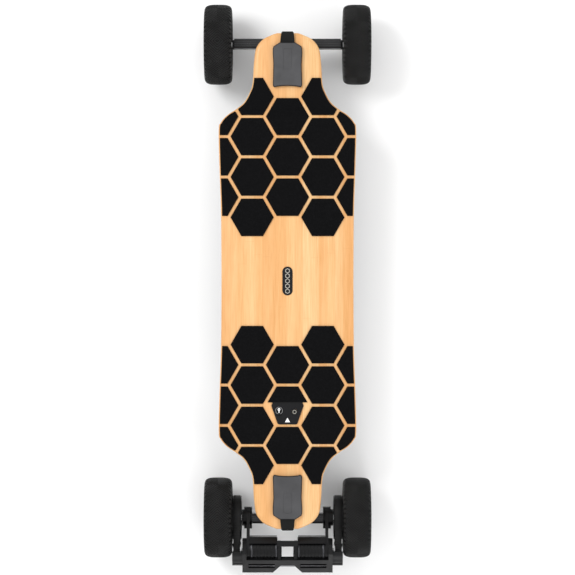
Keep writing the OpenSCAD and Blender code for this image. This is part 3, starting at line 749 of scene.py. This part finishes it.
def rim_part():
    """Barrel with rolled flanges, a step inside its edge and a hub with a bearing seat."""
    def mm(points):
        return [(x * MM, r * MM) for x, r in points]
    barrel = mm([(-25.5, 45.4), (-25.5, 58.2), (-24.9, 59), (-23.6, 59), (-23, 58.2), (-22.7, 49),
                 (-21.5, 47.6),
                 (21.5, 47.6), (22.7, 49), (23, 58.2), (23.6, 59), (24.9, 59), (25.5, 58.2), (25.5, 55.5),
                 (24.6, 54.6), (24.6, 51.2), (25.2, 50.4), (25.2, 47.2), (24.2, 46.2), (19, 45.6), (14, 44.7),
                 (-22, 44.7), (-24.4, 44.9)])
    hub = mm([(-25, 13.1), (-25, 19.2), (-24.2, 20), (4, 20), (6, 19), (11.2, 17.6), (12, 16.8), (12, 13.1),
              (4, 13.1), (4, 8), (-17, 8), (-17, 13.1)])
    return join([spin(barrel, 160), spin(hub, 96), spoke_part()])


def valve_part():
    """Valve stem that leans out of the barrel between two pairs of spokes."""
    stem = spin([(0, 0.01 * MM), (0, 2.6 * MM), (9 * MM, 2.6 * MM), (9.4 * MM, 3.4 * MM), (15 * MM, 3.4 * MM),
                 (16 * MM, 2.4 * MM), (16 * MM, 0.01 * MM)], 24)
    verts, faces = stem
    lean = math.radians(62)
    c, s = math.cos(lean), math.sin(lean)
    tilted = [(x * c + z * s + 5 * MM, y, z * c - x * s + 44.8 * MM) for x, y, z in verts]
    return turned((tilted, faces), math.radians(4))


def build_wheels():
    tyre_mesh, rim_mesh, valve_mesh = tyre_part(), rim_part(), valve_part()
    for end, sign_y in (("front", 1), ("rear", -1)):
        for side, sign_x in (("left", -1), ("right", 1)):
            body = f"{end}_{side}_wheel"
            at = (sign_x * WHEEL_X, MID_Y + sign_y * AXLE_REACH, AXLE_Z)
            flip = (sign_x, 1, 1)
            tyre = make(f"{body}_tread", *moved(tyre_mesh, at, flip), TYRE, body, 50)
            # The groove bottoms take the darker rubber: painted shade between the tread ridges.
            two_tone(tyre, GROOVE_SHADE, lambda c, n: in_groove(c, at, sign_x))
            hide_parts(f"{end}_{side}_tyre")
            rim = make(f"{body}_rim", *moved(rim_mesh, at, flip), RIM, body, 32)
            bevel(rim, 0.5 * MM, 2, 32)
            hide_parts(f"{end}_{side}_rim")
            valve = make(f"{body}_valve", *moved(valve_mesh, at, flip), STEEL, body)
            soften(f"{end}_{side}_hub_ring", 0.5 * MM, RED)
            paint(f"{end}_{side}_bearings", STEEL)


def paint(node, material):
    """Gives a CAD node that keeps its own shape a finished material."""
    data = frame["nodes"][node].data
    data.materials.clear()
    data.materials.append(material)


# ---- Everything that keeps its CAD shape, with eased edges ----------------------------------
def build_hardware():
    covers = soften("truck_covers", 0.8 * MM, COVER)
    two_tone(covers, BLACK, lambda c, n: c.z < NOSE_TOP + 8 * MM)
    for node, reach in (("front_axle", AXLE_REACH), ("rear_axle", -AXLE_REACH)):
        axle = soften(node, 0.4 * MM, STEEL)
        two_tone(axle, DARKSTEEL, lambda c, n: math.hypot(c.y - MID_Y - reach, c.z - AXLE_Z) > 5.3 * MM)
    for node, width, material in (
            ("end_bumpers", 1.2, TRIM), ("deck_badge", 0.5, BADGE),
            ("control_panel", 0.35, PANEL), ("charge_port", 0.3, STEEL),
            ("charge_port_cap", 0.3, TRIM), ("power_button", 0.4, PANEL), ("enclosure_tray", 1.0, TRAY),
            ("enclosure_lid", 0.7, LIDCOAT), ("cable_cover", 0.8, BLACK), ("front_baseplate", 0.8, CAST),
            ("rear_baseplate", 0.7, DARKCAST), ("front_hanger", 1.2, HANGER), ("rear_hanger", 1.2, HANGER),
            ("motor_mounts", 0.9, DRIVE), ("motor_guard", 0.8, DRIVE), ("guard_rails", 0.6, SILVER),
            ("motor_housings", 0.5, DRIVE), ("enclosure_screws", 0.3, OXIDE),
            ("baseplate_bolts", 0.4, OXIDE), ("front_kingpin_nut", 0.5, GOLD),
            ("rear_kingpin_nut", 0.5, GOLD), ("front_pivot_cup", 0.5, TRIM), ("rear_pivot_cup", 0.5, TRIM),
            ("left_wheel_pulley", 0.4, DRIVE), ("right_wheel_pulley", 0.4, DRIVE)):
        soften(node, width * MM, material)
    for node, material in (
            ("enclosure_gasket", TRIM), ("battery_cells", CELL), ("bms_board", BOARD),
            ("speed_controller", SILVER),
            ("front_kingpin", DARKSTEEL), ("rear_kingpin", DARKSTEEL), ("front_bushings", URETHANE),
            ("rear_bushings", URETHANE), ("motor_stators", COPPER), ("left_rotor", STEEL),
            ("right_rotor", STEEL),
            ("drive_belts", BELT)):
        paint(node, material)


# ---- Details that the CAD solids leave plain --------------------------------------------------
RING_REACH = AXLE_REACH - 30 * MM
RING_Z = AXLE_Z + 6.3 * MM
PIN_ANGLE = math.radians(210)
NOSE_UNDER = SKIN_UNDER - DECK_DROP
BAR_Z = AXLE_Z + 5.5 * MM
MOTOR_REACH = 554 * MM
MOTOR_Z = 110 * MM


def lathe(profile, steps=64):
    """Turns an (r, z) profile, in mm, round the Z axis."""
    verts, faces = spin([(z * MM, r * MM) for r, z in profile], steps)
    return [(y, z, x) for x, y, z in verts], faces


def at_end(part, end):
    """Places a part made for the nose, with y as its reach, at the nose or the tail."""
    return moved(part, (0, MID_Y, 0), (1, end, 1))


def on_kingpin(part, end):
    return at_end(moved(turned(part, PIN_ANGLE), (0, RING_REACH, RING_Z)), end)


def both_sides(part):
    return join([part, moved(part, (0, 0, 0), (-1, 1, 1))])


def mm_box(low, high):
    return box_part([v * MM for v in low], [v * MM for v in high])


def frame_part(width, length, rim, middle, low, high, radius=5):
    """A rounded rectangular rim round an opening, in mm, centred on a reach."""
    def loop(w, l, r):
        out = []
        for cx, cy, start in ((1, 1, 0), (-1, 1, 90), (-1, -1, 180), (1, -1, 270)):
            for k in range(7):
                a = math.radians(start + 15 * k)
                out.append(((cx * (w / 2 - r) + r * math.cos(a)) * MM,
                            (middle + cy * (l / 2 - r) + r * math.sin(a)) * MM))
        return out
    outer, inner = loop(width + 2 * rim, length + 2 * rim, radius + rim), loop(width, length, radius)
    n = len(outer)
    verts = [(x, y, z * MM) for z in (low, high) for ring in (outer, inner) for x, y in ring]
    faces = []
    for i in range(n):
        j = (i + 1) % n
        faces += [(i, j, n + j, n + i), (2 * n + i, 3 * n + i, 3 * n + j, 2 * n + j),
                  (i, 2 * n + i, 2 * n + j, j), (n + i, n + j, 3 * n + j, 3 * n + i)]
    return verts, faces


def build_trucks():
    under = NOSE_UNDER / MM
    plate = under - 4.3
    for name, end, half in (("front", 1, 110), ("rear", -1, 73)):
        truck = f"{name}_truck"
        # The upper bushing takes the near-black copy of the urethane: painted shade in the opening; the lower
        # one keeps the urethane colour.
        for level, low, high, material in (("upper", -18.7, -4.55, BUSH_SHADE), ("lower", 4.55, 16.6, URETHANE)):
            mid = (low + high) / 2
            part = lathe([(5.05, low), (14.3, low), (15.3, low + 1), (15.3, low + 2.6), (13.4, mid),
                          (15.3, high - 2.6), (15.3, high - 1), (14.3, high), (5.05, high)])
            bushing = make(f"{name}_{level}_bushing", *on_kingpin(part, end), material, None, 60)
            if level == "upper":
                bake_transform(bushing)
                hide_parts(f"{name}_bushings")
            else:
                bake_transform(bushing)
        bar, reach = BAR_Z / MM, AXLE_REACH / MM
        # Raised ribs on the hanger bar in the lighter copy of its black: painted highlight along the ribs.
        ribs = [mm_box((25, reach + y, bar + 12.9), (half, reach + y + w, bar + 13.6))
                for y, w in ((-4.9, 2.2), (-0.9, 3.4), (4.3, 2.0))]
        ribs += [mm_box((21, reach + y, bar - 13.6), (half, reach + y + w, bar - 12.9))
                 for y, w in ((-4.6, 3.4), (1.6, 3.6))]
        ridge = make(f"{name}_hanger_ribs_highlight", *at_end(both_sides(join(ribs)), end), RIDGE_HIGHLIGHT, truck)
        bevel(ridge, 0.3 * MM)
        # A lighter grey strip along the hanger's inboard side: painted highlight on the black hanger.
        ledge = mm_box((24, reach - 9.9, bar - 9), (half, reach - 6.2, bar + 9.8))
        strip = make(f"{name}_hanger_ledge_highlight", *at_end(both_sides(ledge), end), RIB, truck)
        bevel(strip, 0.3 * MM)
        rim = frame_part(29.4, 32.6, 1.3, 414.5, plate - 0.5, plate + 0.6)
        opening = make(f"{name}_opening_rim", *at_end(rim, end), RIMGOLD, "deck")
        bevel(opening, 0.35 * MM)
        # A black sheet across the back of the opening: painted shade for the dark recess there.
        shade_backing = mm_box((-14.6, 398.3, under - 0.4), (14.6, 430, under))
        floor = make(f"{name}_opening_shade_sheet", *at_end(shade_backing, end), BLACK, "deck")
        bevel(floor, 0.1 * MM)
        legs = both_sides(mm_box((14.7, 430.5, plate - 0.5), (16.1, 448.5, plate + 0.6)))
        leg = make(f"{name}_opening_legs", *at_end(legs, end), RIMGOLD, "deck")
        bevel(leg, 0.3 * MM)
        washer = lathe([(5.2, 43.9), (10.3, 43.9), (10.7, 44.3), (10.7, 46.2), (10.3, 46.6), (5.2, 46.6)])
        washer = at_end(moved(turned(washer, math.radians(-60)), (0, RING_REACH, RING_Z)), end)
        ring = make(f"{name}_pivot_washer", *washer, STEEL, truck)
        riser = mm_box((-9.6, 400.5, plate + 0.8), (9.6, 414, under - 0.4))
        block = make(f"{name}_riser_block", *at_end(riser, end), RIB, "deck")
        bevel(block, 2.2 * MM, 3)
    rails = both_sides(mm_box((16.4, 414.5, plate - 0.9), (20.9, 447, plate + 0.3)))
    guides = make("front_opening_guides", *at_end(rails, 1), GUIDE, "deck")
    bevel(guides, 0.6 * MM)
    # Lighter grey strips over the rear baseplate's own ribs: painted highlight on the dark casting.
    ribs = [mm_box((19.9, r - 2.1, plate - 2.7), (33.1, r + 1.5, plate)) for r in (419, 428, 459)]
    ribs += [mm_box((x - 0.1, 436.9, plate - 2.7), (x + 4.5, 453.1, plate)) for x in (20, 28)]
    ribs.append(mm_box((39.9, 403.9, plate - 3.7), (44.1, 478.1, plate)))
    rib_highlights = make("rear_baseplate_rib_highlights", *at_end(both_sides(join(ribs)), -1), RIB, "deck")
    bevel(rib_highlights, 0.5 * MM)


def belt_path(grow, step):
    """Points (reach, height, outward reach, outward height) round both pulleys, evenly spaced."""
    big, small = 42.6 * MM + grow, 14.2 * MM + grow
    dy, dz = MOTOR_REACH - AXLE_REACH, MOTOR_Z - AXLE_Z
    line, spread = math.atan2(dz, dy), math.acos((big - small) / math.hypot(dy, dz))
    out = []
    arcs = ((AXLE_REACH, AXLE_Z, big, line + spread, line + 2 * math.pi - spread),
            (MOTOR_REACH, MOTOR_Z, small, line - spread, line + spread))
    for k, (cy, cz, r, a, b) in enumerate(arcs):
        n = max(8, round(r * (b - a) / step))
        for i in range(n + 1):
            t = a + (b - a) * i / n
            out.append((cy + r * math.cos(t), cz + r * math.sin(t), math.cos(t), math.sin(t)))
        nxt = arcs[1 - k]
        start, stop = out[-1], (nxt[0] + nxt[2] * math.cos(nxt[3]), nxt[1] + nxt[2] * math.sin(nxt[3]))
        n = max(2, round(math.hypot(stop[0] - start[0], stop[1] - start[1]) / step))
        for i in range(1, n):
            out.append((start[0] + (stop[0] - start[0]) * i / n, start[1] + (stop[1] - start[1]) * i / n,
                        start[2], start[3]))
    return out


def build_drive():
    path = belt_path(0.5 * MM, 1.3 * MM)
    count = len(path)
    verts, faces = [], []
    for i, (y, z, ny, nz) in enumerate(path):
        tall = 3 * MM - 0.55 * MM * (1 - pulse(i / 4, 0.5, 0.4))
        for x, out in ((97.4, 0), (111.2, 0), (111.2, tall - 0.3 * MM), (110.6, tall), (98, tall),
                       (97.4, tall - 0.3 * MM)):
            verts.append((x * MM, y + ny * out, z + nz * out))
    for i in range(count):
        j = (i + 1) % count
        for k in range(6):
            m = (k + 1) % 6
            faces.append((6 * i + k, 6 * i + m, 6 * j + m, 6 * j + k))
    belts = make("drive_belt_loops", *at_end(both_sides((verts, faces)), -1), BELT, "rear_truck", 40)
    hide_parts("drive_belts")
    section = ((-1.6, 26.6), (-1.6, 27.1), (-1, 27.5), (1, 27.5), (1.6, 27.1), (1.6, 26.6))
    ring = spin([(x * MM, r * MM) for x, r in section], 96)
    bands = join([moved(ring, (x * MM, MOTOR_REACH, MOTOR_Z)) for x in (22.9, 73.5)])
    bands = make("motor_bands", *at_end(both_sides(bands), -1), BAND, "rear_truck")


def ring_mark(x, reach, z, outer, inner, height):
    """A flat ring that lies on the control panel, in mm."""
    part = lathe([(inner, 0), (outer, 0), (outer, height), (inner, height)], 40)
    return moved(part, (x * MM, MID_Y - reach * MM, z))


def build_panel_marks():
    top = GRIP_TOP
    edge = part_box("control_panel")[1].y
    seal = box_part((-31 * MM, edge - 0.6 * MM, top - 1.2 * MM),
                    (31 * MM, edge + 3.4 * MM, top - 0.05 * MM))
    strip = make("panel_seal", *seal, TRIM, "deck")
    bevel(strip, 0.2 * MM)
    corners = [(-5.2, 287.6), (5.2, 287.6), (0, 278.6)]
    light = prism([(x * MM, MID_Y - r * MM) for x, r in corners], top - 0.5 * MM, top + 0.35 * MM)
    lamp = make("status_light_lens", *light, WHITE, "deck")
    bevel(lamp, 0.2 * MM)
    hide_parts("status_light")
    button_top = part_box("power_button")[1].z
    button = make("power_button_ring", *ring_mark(14.3, 266.6, button_top - 0.1 * MM, 3.9, 2.9, 0.25), ETCH,
                  "power_button")
    cap_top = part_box("charge_port_cap")[1].z
    stem = moved(mm_box((-18.2, 0, 0), (-16.4, 4.6, 0.25)), (0, MID_Y - 268.6 * MM, cap_top - 0.1 * MM))
    plug = join([ring_mark(-17.3, 261.6, cap_top - 0.1 * MM, 2.6, 1.2, 0.25), stem])
    icon = make("charge_cap_mark", *plug, WHITE, "charge_port_cap")


def build_marks():
    pieces = []
    for k in range(-2, 3):
        turns = [math.radians(60 * i + 30) for i in range(6)]
        outer = [(5.2 * math.cos(a), 5.2 * math.sin(a)) for a in turns]
        verts = []
        for z in (1.15, 1.45):
            for share in (1, 0.72):
                verts += [(x * share * MM, (y * share + 10.4 * k) * MM, z * MM) for x, y in outer]
        faces = []
        for i in range(6):
            j = (i + 1) % 6
            faces += [(i, j, 6 + j, 6 + i), (12 + i, 18 + i, 18 + j, 12 + j), (i, 12 + i, 12 + j, j),
                      (6 + i, 6 + j, 18 + j, 18 + i)]
        pieces.append((verts, faces))
    marks = make("badge_hexagons", *moved(join(pieces), (0, MID_Y, DECK_TOP)), ETCH, "deck")
    for end, sign_y in (("front", 1), ("rear", -1)):
        for side, sign_x in (("left", -1), ("right", 1)):
            section = ((11.9, 13.3), (13.2, 13.3), (13.6, 13.8), (12.5, 16), (11.9, 16))
            ring = spin([(x * MM, r * MM) for x, r in section], 72)
            body = f"{end}_{side}_wheel"
            at = (sign_x * WHEEL_X, MID_Y + sign_y * AXLE_REACH, AXLE_Z)
            cap = make(f"{body}_bearing_cap", *moved(ring, at, (sign_x, 1, 1)), DEEPRED, body)


def two_tone(obj, material, test):
    """Gives the faces that pass a test a second material."""
    obj.data.materials.append(material)
    for face in obj.data.polygons:
        if test(face.center, face.normal):
            face.material_index = 1


# ---- Studio ---------------------------------------------------------------------------------
FLOOR_HALF = 6.0
SKY_STRENGTH = 0.95
CAMERA_Z = 5.0
CAMERA_SPAN = 1.19


def build_studio():
    scene = bpy.context.scene
    scene.view_settings.view_transform = "Standard"
    floor_finish = Finish("studio_floor", 0.9)
    floor_finish.colour(floor_finish.ramp(floor_finish.noise(2, 2), [(0.3, (0.93, 0.93, 0.93)),
                                                                     (0.7, (0.95, 0.95, 0.95))]))
    tree = floor_finish.tree
    clear = floor_finish.add("ShaderNodeBsdfTransparent")
    face = floor_finish.add("ShaderNodeNewGeometry")
    ray = floor_finish.add("ShaderNodeLightPath")
    see_through = floor_finish.math("MAXIMUM", face.outputs["Backfacing"], ray.outputs["Is Shadow Ray"])
    blend = floor_finish.add("ShaderNodeMixShader")
    output = tree.nodes["Material Output"]
    floor_finish.link(see_through, blend.inputs[0])
    floor_finish.link(floor_finish.bsdf.outputs[0], blend.inputs[1])
    floor_finish.link(clear.outputs[0], blend.inputs[2])
    floor_finish.link(blend.outputs[0], output.inputs["Surface"])
    half = FLOOR_HALF
    floor = make("studio_floor", [(-half, -half, 0), (half, -half, 0), (half, half, 0), (-half, half, 0)],
                 [(0, 1, 2, 3)], floor_finish.material)
    world = bpy.data.worlds.new("studio")
    scene.world = world
    world.use_nodes = True
    world.node_tree.nodes["Background"].inputs["Color"].default_value = (1, 1, 1, 1)
    world.node_tree.nodes["Background"].inputs["Strength"].default_value = SKY_STRENGTH

    def area(name, place, target, width, power):
        data = bpy.data.lights.new(name, "AREA")
        data.shape = "SQUARE"
        data.size = width
        data.energy = power
        lamp = bpy.data.objects.new(name, data)
        lamp.location = place
        lamp.rotation_euler = (Vector(target) - Vector(place)).to_track_quat("-Z", "Y").to_euler()
        scene.collection.objects.link(lamp)

    middle = (0, 0, 0.1)
    area("key", (-1.6, 1.2, 2.6), middle, 1.2, 46)
    area("fill", (2.0, -0.6, 2.2), middle, 1.8, 18)
    area("back", (0.4, -2.6, 1.4), middle, 1.2, 16)
    area("below", (-0.5, 0.4, -2.4), middle, 1.6, 44)

    data = bpy.data.cameras.new("camera")
    data.sensor_fit = "VERTICAL"
    data.sensor_height = 36
    data.lens = data.sensor_height * (CAMERA_Z - AXLE_Z) / CAMERA_SPAN
    data.clip_end = 60
    camera = bpy.data.objects.new("camera", data)
    camera.location = (0, 0, CAMERA_Z)
    scene.collection.objects.link(camera)
    scene.camera = camera


build_studio()
build_deck()
build_grip()
build_wheels()
build_hardware()
build_trucks()
build_drive()
build_marks()
build_panel_marks()
